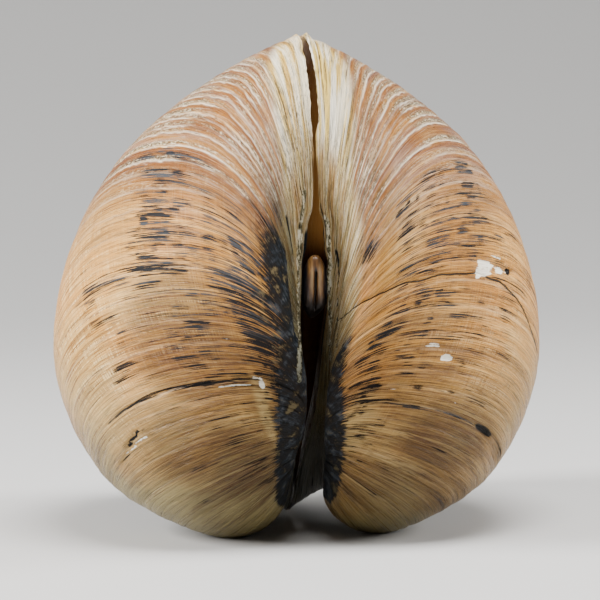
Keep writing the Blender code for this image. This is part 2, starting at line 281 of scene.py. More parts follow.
rightMarks = {
    "seed": 47.0,
    "pauses": (
        (0.05, 0.12, 0.5), (0.10, 0.12, 0.6), (0.16, 0.14, 0.6), (0.22, 0.12, 0.8), (0.27, 0.14, 0.8),
        (0.32, 0.18, 1.0), (0.37, 0.16, 1.0), (0.405, 0.12, 0.9), (0.455, 0.20, 1.0), (0.50, 0.14, 0.9),
        (0.53, 0.16, 1.0), (0.575, 0.22, 1.0), (0.615, 0.18, 1.0), (0.69, 0.28, 1.0),
        (0.745, 0.12, 0.5), (0.80, 0.14, 0.4), (0.86, 0.10, 0.4), (0.92, 0.10, 0.3), (0.99, 0.10, 0.3),
        (1.07, 0.10, 0.3), (1.14, 0.14, 0.4), (1.21, 0.12, 0.5), (1.30, 0.12, 0.4), (1.40, 0.10, 0.3),
        (1.47, 0.14, 0.4), (1.56, 0.12, 0.3), (1.64, 0.16, 0.4), (1.74, 0.30, 0.6), (1.84, 0.10, 0.2),
        (1.98, 0.12, 0.2), (2.14, 0.12, 0.2), (2.35, 0.2, 0.3), (2.6, 0.2, 0.3), (2.9, 0.2, 0.2),
    ),
    "streaks": (
        (168, 0.80, 11, 0.012, 0.95), (182, 0.82, 10, 0.014, 0.85), (150, 0.80, 5, 0.025, 1.0),
        (148, 0.86, 5, 0.02, 1.1), (146, 0.90, 14, 0.010, 1.0), (178, 0.90, 10, 0.016, 0.8),
        (168, 0.94, 14, 0.010, 1.0), (186, 0.97, 4, 0.09, 0.75), (176, 1.01, 12, 0.03, 0.7),
        (147, 0.99, 13, 0.018, 0.95), (143, 1.05, 15, 0.010, 0.8), (152, 1.075, 11, 0.014, 1.15),
        (170, 1.06, 10, 0.02, 0.6), (180, 1.10, 12, 0.018, 0.9), (155, 1.125, 11, 0.012, 0.95),
        (176, 1.15, 16, 0.012, 0.85), (163, 1.235, 12, 0.012, 0.7), (186, 1.22, 12, 0.012, 0.8),
        (186, 1.285, 11, 0.012, 0.9), (160, 1.30, 6, 0.018, 1.05), (150, 1.33, 7, 0.012, 1.0),
        (189, 1.365, 7, 0.022, 1.3), (184, 1.335, 8, 0.012, 0.8), (160, 1.385, 9, 0.010, 0.95),
        (200, 1.46, 5, 0.02, 1.25), (190, 1.45, 4, 0.018, 1.0), (176, 1.43, 8, 0.010, 0.7),
        (159, 1.43, 7, 0.010, 0.8), (174, 1.50, 7, 0.014, 1.1), (196, 1.53, 8, 0.03, 0.75),
        (200, 1.60, 6, 0.018, 1.1), (188, 1.64, 6, 0.022, 1.25), (196, 1.665, 14, 0.010, 1.15),
        (196, 1.70, 12, 0.014, 0.9), (186, 1.725, 14, 0.012, 1.15), (160, 1.645, 4, 0.010, 1.0),
        (121, 1.655, 3, 0.010, 1.0), (188, 1.78, 9, 0.016, 0.8), (185, 1.90, 9, 0.018, 0.8),
        (186, 2.02, 9, 0.018, 0.75), (180, 2.14, 12, 0.018, 0.7), (145, 2.25, 5, 0.014, 1.0),
        (172, 2.40, 14, 0.022, 0.9), (150, 2.60, 32, 0.02, 0.95), (140, 2.85, 30, 0.03, 0.7),
        (120, 1.95, 8, 0.02, 0.5),
    ),
    "smudges": (
        (186, 1.36, 14, 0.06, 0.6), (193, 1.62, 14, 0.12, 0.6), (133, 1.90, 12, 0.06, 0.9),
        (134, 1.47, 8, 0.03, 0.8), (165, 1.58, 20, 0.06, 0.3), (150, 2.45, 34, 0.22, 0.6),
        (150, 1.0, 20, 0.1, 0.3),
    ),
    "skinEdge": (
        (0.70, 262), (0.95, 246), (1.10, 232), (1.20, 217), (1.26, 213), (1.485, 212), (1.665, 205),
        (2.055, 194), (2.45, 181), (2.685, 172), (3.1, 146), (3.5, 122),
    ),
    "chips": (
        (130, 1.112, 5, 0.007, 0.85), (160, 1.455, 5, 0.008, 0.9), (149, 1.50, 3.5, 0.013, 1.1),
        (174, 1.665, 3, 0.006, 0.7),
    ),
    "strips": (),
    "plates": (((146, 1.122), (144, 1.197), (119, 1.150)),),
    "seams": (
        (1.742, 60, 205, 0.75), (1.655, 178, 210, 0.7), (1.235, 130, 205, 0.5), (1.51, 140, 186, 0.45),
        (0.90, 140, 196, 0.5), (2.27, 150, 196, 0.6), (2.62, 110, 176, 0.7), (1.36, 150, 200, 0.45),
    ),
    "rimDrops": ((171, 184, -0.45),),
    "ridgeLine": (
        (228, 0.08), (232, 0.11), (236, 0.11), (240, 0.11), (242, 0.15), (244, 0.23), (246, 0.32),
        (248, 0.48), (248, 0.73),
    ),
    "darkLines": (
        (((226, 0.02), (229, 0.035), (232, 0.05), (236, 0.09), (237, 0.2)), 0.16),
        (
            (
                (231, 0.26), (233, 0.33), (236, 0.42), (237.5, 0.56), (237, 0.72), (234, 0.9),
                (230, 1.05),
            ),
            0.34,
        ),
    ),
    "bankTurn": 0.05,
    "dims": (),
    "rimPales": ((198, 0.06, 18, 0.10, 1.1), (216, 0.14, 8, 0.05, 0.6)),
    "flecks": ((218, 0.20, 10, 0.2, 0.6),),
    "speckles": ((207, 0.72, 9, 0.26, 1.0), (196, 0.42, 5, 0.05, 0.8), (214, 0.9, 6, 0.12, 0.6)),
    "rimFolds": ((215, 0.42, 4.5),),
    "stains": (
        (122, 1.86, 30, 0.22, 0.9), (154, 1.60, 22, 0.2, 0.45), (158, 1.27, 24, 0.2, 0.45),
        (108, 2.5, 50, 0.5, 0.55), (150, 0.97, 18, 0.15, 0.4), (165, 2.5, 40, 0.4, 0.2),
    ),
    "pales": (
        (190, 1.95, 12, 0.25, 0.9), (188, 0.92, 12, 0.2, 0.6), (120, 2.5, 30, 0.25, 0.6),
        (96, 1.5, 20, 0.25, 0.5), (176, 0.62, 16, 0.05, 0.6),
    ),
    "paleDashes": ((120, 1.35, 20, 0.3, 0.6), (150, 1.42, 14, 0.08, 0.6)),
    "bands": (
        (186, 8, 0.80, 1.35, 36, 0.9), (148, 9, 0.76, 1.16, 40, 1.0), (170, 12, 0.80, 1.60, 70, 0.9),
        (193, 8, 1.30, 1.85, 60, 1.05), (178, 14, 1.85, 2.90, 70, 0.9), (130, 25, 1.25, 1.75, 22, 0.75),
        (120, 18, 1.00, 1.25, 14, 0.7),
    ),
    "crack": (
        (60, 1.32), (98, 1.275), (106, 1.245), (118, 1.215), (128, 1.19), (144, 1.18), (156, 1.185),
        (168, 1.185), (178, 1.185), (188, 1.17), (196, 1.155), (204, 1.125), (212, 1.075), (220, 1.005),
        (228, 0.89), (236, 0.72),
    ),
    "pits": ((99, 1.738, 8, 0.014, 1.3), (121.5, 1.143, 2, 0.010, 1.1)),
    "groove": ((86, 1.765, 20, 0.03, 0.8),),
    "patches": (
        (210, 0.83, 4, 0.035, 1.0), (206, 0.885, 4, 0.03, 1.0), (214, 0.74, 4, 0.05, 0.6),
        (208, 0.95, 4, 0.02, 0.7),
    ),
}

flankRun = 52  # millimetres of flank for each radian of turn
creamEdge = (
    (150, 165, 180, 195, 207, 217, 225, 235, 250),
    (0.04, 0.10, 0.2, 0.27, 0.34, 0.46, 0.62, 0.8, 0.9),
)


def spots(angle, turn, places):
    # soft-edged spots, each as strong as its last number says
    field = np.zeros_like(turn)
    for centre, at, halfAngle, halfTurn, strength in places:
        away = np.sqrt(((angle - centre) / halfAngle) ** 2 + ((turn - at) / halfTurn) ** 2)
        field = np.maximum(field, strength * eased(1.6 - away))
    return field


def awayFrom(lines, rows, angles, path):
    # distance in millimetres of every point of the valve from a path of (angle, turn) places
    outer = [i for i, (_, inside) in enumerate(rows) if not inside]
    knots = np.array(path, dtype=float)
    steps = np.linspace(0, len(knots) - 1, 12 * len(knots))
    pathAngle, pathTurn = (np.interp(steps, range(len(knots)), knots[:, k]) for k in (0, 1))
    columnAt = np.interp(pathAngle, np.degrees(angles), range(len(angles)))
    rowAt = np.interp(pathTurn, [rows[i][0] for i in outer], outer)
    nearest = np.full(lines.shape[:2], 99.0)
    for i, j in zip(rowAt, columnAt):
        i0, j0 = min(int(i), len(lines) - 2), min(int(j), len(angles) - 2)
        u, v = i - i0, j - j0
        upper = lines[i0, j0] * (1 - v) + lines[i0, j0 + 1] * v
        lower = lines[i0 + 1, j0] * (1 - v) + lines[i0 + 1, j0 + 1] * v
        nearest = np.minimum(nearest, np.linalg.norm(lines - (upper * (1 - u) + lower * u), axis=2))
    return nearest


def plate(angle, turn, corners):
    # 1 inside a three-cornered chip, 0 outside it
    (a1, t1), (a2, t2), (a3, t3) = corners
    area = (a2 - a1) * (t3 - t1) - (a3 - a1) * (t2 - t1)
    second = ((angle - a1) * (t3 - t1) - (a3 - a1) * (turn - t1)) / area
    third = ((a2 - a1) * (turn - t1) - (angle - a1) * (t2 - t1)) / area
    return eased(0.5 + 5 * np.minimum(np.minimum(second, third), 1 - second - third))


def dashPlaces(bands, seed):
    # small dark dashes strewn over each band
    chance = random.Random(seed)
    places = []
    for centre, reach, first, last, count, strength in bands:
        for _ in range(count):
            angle = centre + reach * chance.uniform(-1, 1) * chance.uniform(0.4, 1)
            half = chance.uniform(1.2, 4.5) * min(1.7, max(1, reach / 9))
            at = chance.uniform(first, last)
            width = chance.uniform(0.009, 0.016)
            places.append((angle, at, half, width, strength * chance.uniform(0.7, 1.15)))
    return places


def columnAngles():
    # finer towards the hinge side, where the eye falls
    fine = np.linspace(0, math.tau, 721)
    density = 1 + 1.3 * np.exp(-(((np.degrees(fine) - 190) / 62) ** 2))
    run = np.concatenate([[0], np.cumsum((density[1:] + density[:-1]) / 2)])
    return np.interp(np.linspace(0, run[-1], grid["columns"] + 1), run, fine)


def growthRuns(angles):
    # how far the valve has grown, in millimetres, from the rim back to each turn
    turns = np.linspace(0, grid["beakTurn"], 640)
    lines = np.array([growthLine(turn, angles[::6], 0.0) for turn in turns])
    steps = np.linalg.norm(np.diff(lines, axis=0), axis=2).max(axis=1)
    return turns, np.concatenate([[0], np.cumsum(steps)])


def makeValve(name, side, marks):
    angles = columnAngles()
    runTurns, runs = growthRuns(angles)
    even = np.interp(np.linspace(0, runs[-1], grid["outerLines"]), runs, runTurns)
    pauses = [pause[0] for pause in marks["pauses"]]
    outer = np.unique(np.concatenate([even, pauses, [turn - 0.004 for turn in pauses], [0.004, 0.012]]))
    inner = np.linspace(grid["cavityTurn"], 0.05, grid["innerLines"])
    rows = [(turn, True) for turn in inner] + [(turn, False) for turn in outer]

    lines = []
    for turn, inside in rows:
        inset = 0.0
        if inside:
            size = math.exp(logSizeAt(turn))
            inset = grid["wall"] + grid["hingePlate"] * size * np.maximum(0, -np.sin(angles)) ** 2
        points = growthLine(turn, angles, inset)
        points[:, 0] += gapeShift(points, turn, angles)
        lines.append(points)
    lines = np.array(lines)
    firstOuter = len(inner)
    lines[0] = lines[0].mean(axis=0)
    lines[-1] = lines[-1].mean(axis=0)

    turn = np.array([row[0] for row in rows])[:, None] + np.zeros(len(angles))
    angle = np.zeros(len(rows))[:, None] + np.degrees(angles)
    size = np.exp([logSizeAt(row[0]) for row in rows])
    run = np.interp(turn, runTurns, runs)
    place = np.stack(
        [
            growth["rimRadius"] * size[:, None] * np.cos(angles),
            growth["rimRadius"] * size[:, None] * np.sin(angles),
            run + marks["seed"] * 7,
        ],
        2,
    )
    circle = growth["rimRadius"] * np.stack([np.cos(angles), np.sin(angles)], 1)
    rayPlace = np.concatenate([np.broadcast_to(circle, place.shape[:2] + (2,)), place[..., 2:]], 2)
    outside = np.zeros_like(turn)
    outside[firstOuter:] = 1

    # relief, in millimetres along the surface's own outward direction
    across = np.gradient(lines, axis=0)
    along = np.gradient(lines, axis=1)
    along[:, 0] = along[:, -1] = lines[:, 1] - lines[:, -2]
    outward = np.cross(along, across)
    outward /= np.linalg.norm(outward, axis=2, keepdims=True) + 1e-12

    def marked(name):
        return spots(angle, turn, marks[name])

    drift = 0.6 + 0.6 * noiseOver(place, 0.035, 0.035, 0.05)
    relief = np.zeros_like(turn)
    ledgeShare = np.zeros_like(turn)
    lipShare = np.zeros_like(turn)
    bandShare = np.zeros_like(turn)
    wander = 0.010 * noiseOver(place, 0.12, 0.12, 0.02) + 0.004 * noiseOver(place, 0.5, 0.5, 0.1)
    for at, depth, strength in marks["pauses"]:
        past = (turn - at + wander * np.minimum(1, at * 4)) * flankRun  # millimetres past the pause
        younger = (past < 0) & (outside > 0)
        relief -= np.where(younger, depth * np.exp(past / 1.1), 0) * np.clip(drift + 0.3, 0.2, 1.2)
        ledgeShare = np.maximum(ledgeShare, strength * np.exp(-(((past + 0.16) / 0.20) ** 2)))
        bandShare = np.maximum(bandShare, strength * np.exp(-(((past + 0.85) / 0.50) ** 2)))
        lip = np.where(past > 0, np.exp(-np.maximum(past - 0.2, 0) / 1.5), 0)
        lipShare = np.maximum(lipShare, strength * lip)
    relief -= 1.0 * marked("groove")
    relief += 0.10 * noiseOver(place, 0.02, 0.02, 0.33)
    relief += 0.07 * noiseOver(place, 0.04, 0.04, 0.9)
    cream = eased((np.interp(angle, *creamEdge) - turn) / 0.10 + 0.5)
    cream = cream * eased((angle - 140) / 25) * eased((275 - angle) / 20)
    relief += cream * (0.26 * noiseOver(place, 0.05, 0.05, 0.38) + 0.16 * noiseOver(place, 0.10, 0.10, 0.85))

    # beside the ligament: a crusty ridge, the groove outside it, and dark skin on the rim itself
    ridge = np.exp(-((awayFrom(lines, rows, angles, marks["ridgeLine"]) / 0.52) ** 2)) * outside
    trench = np.zeros_like(turn)
    for path, reach in marks["darkLines"]:
        trench = np.maximum(trench, np.exp(-((awayFrom(lines, rows, angles, path) / reach) ** 2)))
    trench *= outside
    relief += ridge * (0.38 + 0.22 * noiseOver(place, 0.8, 0.8, 0.8) + 0.22 * noiseOver(place, 2.1, 2.1, 2.1))
    relief -= 0.30 * trench
    bank = eased((marks["bankTurn"] - turn) / 0.05) * eased((angle - 228) / 6) * eased((268 - angle) / 8)

    skinDepth = (angle - np.interp(turn, *np.array(marks["skinEdge"]).T)) / np.where(turn > 1.3, 5, 8)
    skinDepth = np.where(turn < marks["skinEdge"][0][0], -4, skinDepth)
    skinDepth -= 6 * eased((angle - 218) / 4) * eased((1.22 - turn) / 0.15)
    skinDepth = np.clip(skinDepth, -4, 4) * eased((300 - angle) / 20) + (-4) * (1 - eased((300 - angle) / 20))
    dashes = dashPlaces(marks["bands"], marks["seed"])
    streaks = np.maximum(marked("streaks"), spots(angle, turn, dashes))
    chips = marked("chips")
    for corners in marks["plates"]:
        chips = np.maximum(chips, plate(angle, turn, corners))
    seams = np.zeros_like(turn)
    for at, first, last, strength in marks["seams"]:
        window = eased((angle - first) / 6) * eased((last - angle) / 6)
        away = (turn - at + 0.6 * wander) * flankRun / 0.30
        seams = np.maximum(seams, strength * window * np.exp(-(away**2)))
    pits = marked("pits")
    relief -= 0.22 * chips + 0.6 * pits
    crackRun = np.full_like(turn, 9.0)
    if marks["crack"]:
        knots = np.array(marks["crack"]).T
        crackTurn = np.interp(angle, knots[0], knots[1]) + 0.006 * noiseOver(place, 0.25, 0.25, 0.0)
        inCrack = (angle > knots[0][0]) & (angle < knots[0][-1])
        crackRun = np.where(inCrack, (turn - crackTurn) * 55, 9.0)
        relief -= 0.16 * np.exp(-((crackRun / 0.45) ** 2))
    relief *= outside * (1 - eased((turn - 4.5) / 1.5))

    # the rim is rough and a little chipped
    rim = np.exp(-((turn / 0.03) ** 2)) * outside
    ragged = rim * (0.16 * noiseOver(place, 0.5, 0.5, 0.0) + 0.14 * noiseOver(place, 1.7, 1.7, 0.0))
    lines += outward * (relief + ragged)[..., None]
    lines[..., 0] += rim * 0.12 * noiseOver(place, 1.3, 1.3, 0.3) * eased((angle - 170) / 20)
    for first, last, depth in marks["rimDrops"]:
        drop = eased((angle - first) / 1.0) * eased((last - angle) / 9)
        lines[..., 2] -= depth * drop * np.exp(-((turn / 0.03) ** 2))
    fold = np.zeros_like(turn)
    for centre, reach, halfAngle in marks["rimFolds"]:
        fold = eased(1.5 - np.abs(angle - centre) / halfAngle) * np.exp(-((turn / 0.006) ** 4))
        lines[..., 0] -= reach * fold
    lines[..., 0] = np.maximum(lines[..., 0], 0.08)
    lines[..., 2] = np.maximum(lines[..., 2], 0.0)
    lines[..., 0] *= side

    bm = bmesh.new()
    columns = grid["columns"]
    bmesh.ops.create_grid(bm, x_segments=columns, y_segments=len(rows) - 1, size=1.0)
    fields = {
        "streakShare": streaks,
        "smudgeShare": marked("smudges"),
        "patchShare": marked("patches"),
        "ledgeShare": ledgeShare,
        "lipShare": lipShare,
        "bandShare": bandShare,
        "dimShare": marked("dims"),
        "skinDepth": skinDepth,
        "creamShare": cream * eased((angle - 140) / 45),
        "chipShare": chips,
        "stripShare": marked("strips"),
        "pitShare": pits,
        "crackRun": crackRun,
        "ridgeShare": ridge,
        "trenchShare": np.maximum(trench, bank),
        "rimPaleShare": marked("rimPales"),
        "fleckShare": marked("flecks"),
        "speckleShare": marked("speckles"),
        "furrowShare": eased((angle - 150) / 62) * eased((turn - 0.85) / 0.5),
        "hingeShare": eased((angle - 209) / 8) * eased((1.40 - turn) / 0.25),
        "growthTurn": turn,
        "insideShare": (1 - outside) * (turn > 0.1),
        "rimFaceShare": (1 - outside) * (turn < 0.1),
        "foldShare": fold * outside,
        "stainShare": marked("stains"),
        "paleShare": marked("pales"),
        "seamShare": seams,
        "paleDashShare": marked("paleDashes"),
    }
    layers = {key: bm.verts.layers.float.new(key) for key in fields}
    placeLayer = bm.verts.layers.float_vector.new("growthPlace")
    rayLayer = bm.verts.layers.float_vector.new("rayPlace")
    bm.verts.ensure_lookup_table()
    for vert in bm.verts:
        i = round((vert.co.y + 1) / 2 * (len(rows) - 1))
        j = round((vert.co.x + 1) / 2 * columns)
        vert.co = lines[i, j] * mm
        vert[placeLayer] = place[i, j]
        vert[rayLayer] = rayPlace[i, j]
        for key, layer in layers.items():
            vert[layer] = fields[key][i, j]
    bmesh.ops.remove_doubles(bm, verts=bm.verts, dist=1e-6)
    bmesh.ops.recalc_face_normals(bm, faces=bm.faces)
    mesh = bpy.data.meshes.new(name)
    bm.to_mesh(mesh)
    bm.free()
    mesh.shade_smooth()
    valve = bpy.data.objects.new(name, mesh)
    bpy.context.scene.collection.objects.link(valve)
    print(name, "has", len(mesh.polygons) * 2, "triangles or fewer")
    return valve


def addNode(tree, kind, inputs=None, **settings):
    node = tree.nodes.new(kind)
    for key, value in settings.items():
        setattr(node, key, value)
    for key, value in (inputs or {}).items():
        if isinstance(value, bpy.types.NodeSocket):
            tree.links.new(value, node.inputs[key])
        else:
            node.inputs[key].default_value = value
    return node


def maths(tree, operation, a, b=0.0, clamp=False):
    return addNode(tree, "ShaderNodeMath", {0: a, 1: b}, operation=operation, use_clamp=clamp).outputs[0]


def between(tree, value, low, high):
    return addNode(
        tree,
        "ShaderNodeMapRange",
        {"Value": value, "From Min": low, "From Max": high},
        interpolation_type="SMOOTHSTEP",
    ).outputs[0]


def mixed(tree, share, a, b, blend="MIX"):
    node = tree.nodes.new("ShaderNodeMix")
    node.data_type = "RGBA"
    node.blend_type = blend
    node.clamp_factor = True
    for socket, value in ((node.inputs[0], share), (node.inputs[6], a), (node.inputs[7], b)):
        if isinstance(value, bpy.types.NodeSocket):
            tree.links.new(value, socket)
        else:
            socket.default_value = value
    return node.outputs[2]


def attribute(tree, name, output="Fac"):
    return addNode(tree, "ShaderNodeAttribute", attribute_name=name).outputs[output]


def grain(tree, place, scale, detail=3.0, roughness=0.55, offset=(0, 0, 0)):
    spread = addNode(tree, "ShaderNodeMapping", {"Vector": place, "Scale": scale, "Location": offset})
    made = addNode(
        tree,
        "ShaderNodeTexNoise",
        {"Vector": spread.outputs[0], "Scale": 1.0, "Detail": detail, "Roughness": roughness},
    )
    return made.outputs["Fac"]


def ramp(tree, value, stops):
    node = addNode(tree, "ShaderNodeValToRGB", {"Fac": value})
    elements = node.color_ramp.elements
    while len(elements) > 1:
        elements.remove(elements[-1])
    elements[0].position, elements[0].color = stops[0]
    for position, colour in stops[1:]:
        elements.new(position).color = colour
    return node.outputs["Color"]


shellColours = {
    "tan": (0.62, 0.285, 0.048, 1),
    "orange": (0.61, 0.235, 0.034, 1),
    "straw": (0.46, 0.32, 0.115, 1),
    "chestnut": (0.15, 0.046, 0.013, 1),
    "rust": (0.25, 0.090, 0.018, 1),
    "ember": (0.37, 0.150, 0.020, 1),
    "pinkTan": (0.41, 0.200, 0.052, 1),
    "pinkWhite": (0.86, 0.58, 0.25, 1),
    "lilac": (0.26, 0.140, 0.098, 1),
    "paleLilac": (0.38, 0.235, 0.150, 1),
    "cream": (0.70, 0.53, 0.24, 1),
    "yellow": (0.74, 0.52, 0.12, 1),
    "white": (0.92, 0.85, 0.70, 1),
    "ash": (0.31, 0.28, 0.16, 1),
    "palest": (0.86, 0.74, 0.52, 1),
    "greyGreen": (0.15, 0.135, 0.075, 1),
    "olive": (0.14, 0.105, 0.050, 1),
    "brown": (0.12, 0.046, 0.012, 1),
    "umber": (0.045, 0.020, 0.008, 1),
    "black": (0.006, 0.005, 0.005, 1),
    "blueBlack": (0.006, 0.009, 0.012, 1),
    "blueGrey": (0.040, 0.048, 0.058, 1),
    "slate": (0.044, 0.051, 0.058, 1),
    "worn": (0.62, 0.43, 0.16, 1),
    "inside": (0.50, 0.23, 0.060, 1),
}


def shellMaterial():
    c = shellColours
    material = bpy.data.materials.new("grownShell")
    material.use_nodes = True
    tree = material.node_tree

    def field(name, output="Fac"):
        return attribute(tree, name, output)

    def span(value, low, high):
        return between(tree, value, low, high)

    def times(a, b):
        return maths(tree, "MULTIPLY", a, b)

    def plus(a, b):
        return maths(tree, "ADD", a, b)

    def minus(a, b):
        return maths(tree, "SUBTRACT", a, b)

    def larger(a, b):
        return maths(tree, "MAXIMUM", a, b)

    def paint(share, colour, blend="MIX"):
        # lays one more colour over the body colour
        nonlocal body
        body = mixed(tree, share, body, colour, blend)

    surface = tree.nodes["Principled BSDF"]
    place = field("growthPlace", "Vector")
    turn = field("growthTurn")
    position = addNode(tree, "ShaderNodeTexCoord").outputs["Object"]
    parts = addNode(tree, "ShaderNodeSeparateXYZ", {0: position})
    height = parts.outputs["Z"]
    furrow = field("furrowShare")
    creamShare = field("creamShare")

    striae = grain(tree, place, (0.06, 0.06, 2.0), 5.0, 0.75)
    fineStriae = grain(tree, place, (0.14, 0.14, 5.5), 3.0, 0.7, (3, 5, 7))
    rings = grain(tree, place, (0.02, 0.02, 0.45), 5.0, 0.66, (9, 2, 4))
    broad = grain(tree, place, (0.018, 0.018, 0.27), 2.0, 0.45, (19, 22, 24))
    cloud = grain(tree, position, (55, 55, 55), 3.0, 0.5)
    fineCloud = grain(tree, position, (420, 420, 420), 3.0, 0.55, (2, 8, 1))
    dashes = grain(tree, place, (0.11, 0.11, 2.6), 5.0, 0.68, (31, 17, 5))
    stripes = grain(tree, place, (0.08, 0.08, 6.0), 3.0, 0.62, (13, 27, 15))
    waves = grain(tree, place, (0.035, 0.035, 0.8), 3.0, 0.5, (23, 11, 2))
    hairs = grain(tree, place, (0.05, 0.05, 1.5), 3.0, 0.5, (6, 41, 12))
    jags = grain(tree, place, (0.14, 0.14, 2.4), 6.0, 0.78, (2, 37, 11))
    rayPlace = field("rayPlace", "Vector")
    rays = grain(tree, rayPlace, (2.2, 2.2, 0.12), 4.0, 0.6, (4, 4, 4))
    waveLine = span(maths(tree, "ABSOLUTE", minus(waves, 0.5)), 0.016, 0.004)
    hairLine = span(maths(tree, "ABSOLUTE", minus(hairs, 0.5)), 0.018, 0.004)

    # body colour: straw at the umbo, orange-tan at mid height, redder and ringed towards the rim
    body = mixed(tree, span(height, 0.006, 0.036), c["straw"], c["tan"])
    paint(times(span(cloud, 0.46, 0.62), 0.5), c["orange"])
    ringZone = span(turn, 1.10, 0.70)
    # the left valve is more chestnut, the right one more lilac
    ringShift = times(minus(span(parts.outputs["X"], -0.004, 0.004), 0.5), 0.045)
    ringColour = ramp(
        tree,
        plus(ringShift, plus(times(rings, 0.2), times(broad, 0.8))),
        [
            (0.42, c["chestnut"]), (0.465, c["rust"]), (0.50, c["ember"]), (0.53, c["pinkTan"]),
            (0.56, c["paleLilac"]), (0.59, c["lilac"]), (0.63, c["rust"]),
        ],
    )
    paint(times(ringZone, 0.95), ringColour)
    calm = minus(1.0, times(ringZone, 0.6))
    paint(times(span(rings, 0.50, 0.40), times(calm, 0.38)), c["brown"])
    ringPale = times(span(rings, 0.52, 0.62), minus(0.25, times(ringZone, 0.2)))
    paint(ringPale, c["pinkWhite"])
    paint(times(span(striae, 0.50, 0.38), times(calm, 0.66)), c["brown"])
    striaePale = times(span(striae, 0.55, 0.66), minus(0.40, times(ringZone, 0.24)))
    paint(striaePale, c["pinkWhite"])
    paint(times(span(fineStriae, 0.49, 0.34), times(calm, 0.6)), c["brown"])
    paint(times(span(rays, 0.54, 0.64), 0.10), c["pinkWhite"])
    paint(times(span(rays, 0.47, 0.36), 0.14), c["brown"])
    paint(times(hairLine, times(calm, 0.7)), c["umber"])

    # paler and browner areas, and the stain towards the furrow
    pale = times(field("paleShare"), span(plus(striae, minus(cloud, 0.5)), 0.36, 0.54))
    paint(times(pale, 0.5), c["worn"])
    stain = plus(plus(times(furrow, 0.20), field("stainShare")), times(minus(cloud, 0.5), 0.9))
    paint(times(span(stain, 0.0, 1.1), 0.95), (0.48, 0.47, 0.42, 1), "MULTIPLY")
    dashRows = times(span(rays, 0.47, 0.53), span(dashes, 0.50, 0.58))
    paint(times(field("paleDashShare"), times(dashRows, 0.75)), c["pinkWhite"])

    # pauses in growth: a chestnut lip, then a pale wavy line
    lip = times(field("lipShare"), plus(0.15, times(ringZone, 0.85)))
    lip = times(lip, span(plus(times(broad, 0.6), times(cloud, 0.4)), 0.39, 0.48))
    paint(lip, mixed(tree, span(striae, 0.44, 0.56), c["chestnut"], c["rust"]))
    specks = grain(tree, place, (1.1, 1.1, 3.8), 3.0, 0.7, (8, 14, 33))
    bandColour = ramp(
        tree, specks, [(0.42, c["umber"]), (0.48, c["greyGreen"]), (0.54, c["ash"]), (0.62, c["palest"])]
    )
    bandPatches = span(plus(times(cloud, 0.5), times(jags, 0.5)), 0.42, 0.50)
    band = times(field("bandShare"), times(ringZone, bandPatches))
    paint(times(band, 0.85), bandColour)
    line = times(field("ledgeShare"), plus(0.22, times(ringZone, 0.50)))
    line = times(line, span(plus(times(cloud, 0.6), times(broad, 0.4)), 0.34, 0.48))
    line = larger(line, times(waveLine, times(ringZone, 0.16)))
    paint(line, mixed(tree, span(jags, 0.40, 0.52), c["pinkWhite"], c["white"]))
    speckLine = larger(field("ledgeShare"), times(waveLine, 0.8))
    speckLine = larger(speckLine, span(striae, 0.54, 0.60))
    speckles = times(times(field("speckleShare"), speckLine), span(fineCloud, 0.44, 0.52))
    paint(times(speckles, 0.9), c["umber"])

    # worn pale at the foot of the umbones
    scuffs = times(minus(cloud, 0.5), 0.03)
    wornShare = times(span(plus(height, scuffs), 0.010, 0.0), 0.7)
    paint(wornShare, c["worn"])

    # fibrous cream beside the rims, greyer and flecked towards the ligament
    fibreGrain = grain(tree, place, (0.10, 0.10, 1.5), 6.0, 0.82, (7, 7, 1))
    tint = grain(tree, place, (0.03, 0.03, 0.35), 3.0, 0.6, (17, 3, 8))
    fibres = ramp(
        tree,
        fibreGrain,
        [
            (0.39, c["umber"]), (0.43, c["greyGreen"]), (0.465, c["cream"]), (0.50, c["yellow"]),
            (0.53, c["cream"]), (0.56, c["white"]), (0.60, c["cream"]), (0.63, c["olive"]),
        ],
    )
    greyFibres = ramp(
        tree,
        fibreGrain,
        [
            (0.41, c["umber"]), (0.45, c["greyGreen"]), (0.49, c["worn"]),
            (0.53, c["cream"]), (0.58, c["white"]), (0.62, c["olive"]),
        ],
    )
    fibres = mixed(tree, times(span(tint, 0.49, 0.57), 0.50), fibres, c["white"])
    fibres = mixed(tree, times(span(tint, 0.50, 0.42), 0.75), fibres, c["yellow"], "MULTIPLY")
    greyShare = span(plus(height, times(minus(tint, 0.5), 0.05)), 0.068, 0.048)
    fibres = mixed(tree, times(greyShare, 0.85), fibres, greyFibres)
    rimPale = times(field("rimPaleShare"), span(fibreGrain, 0.44, 0.50))
    rimColour = mixed(tree, span(tint, 0.44, 0.54), c["yellow"], c["white"])
    fibres = mixed(tree, times(rimPale, 0.85), fibres, rimColour)
    paint(creamShare, fibres)
    hingeShare = field("hingeShare")
    hingeTint = times(span(tint, 0.46, 0.58), 0.5)
    paint(hingeShare, mixed(tree, hingeTint, greyFibres, c["pinkTan"]))
    fleckGrain = grain(tree, place, (0.6, 0.6, 1.6), 4.0, 0.7, (5, 9, 3))
    flecks = times(field("fleckShare"), span(fleckGrain, 0.53, 0.58))
    paint(times(flecks, 0.85), c["umber"])
    # painted shade: the hinge side and the rim tops beside it darken downwards into the furrow
    depthColours = [(0.0, (0.24, 0.24, 0.20, 1)), (1.0, (1, 1, 1, 1))]
    depthShade = ramp(tree, span(height, 0.026, 0.052), depthColours)
    nearHinge = larger(hingeShare, times(creamShare, span(turn, 0.0, 0.3)))
    paint(nearHinge, depthShade, "MULTIPLY")
    paint(field("dimShare"), (0.30, 0.33, 0.32, 1), "MULTIPLY")
    strip = times(field("stripShare"), times(span(striae, 0.36, 0.5), 0.8))
    paint(strip, c["worn"])

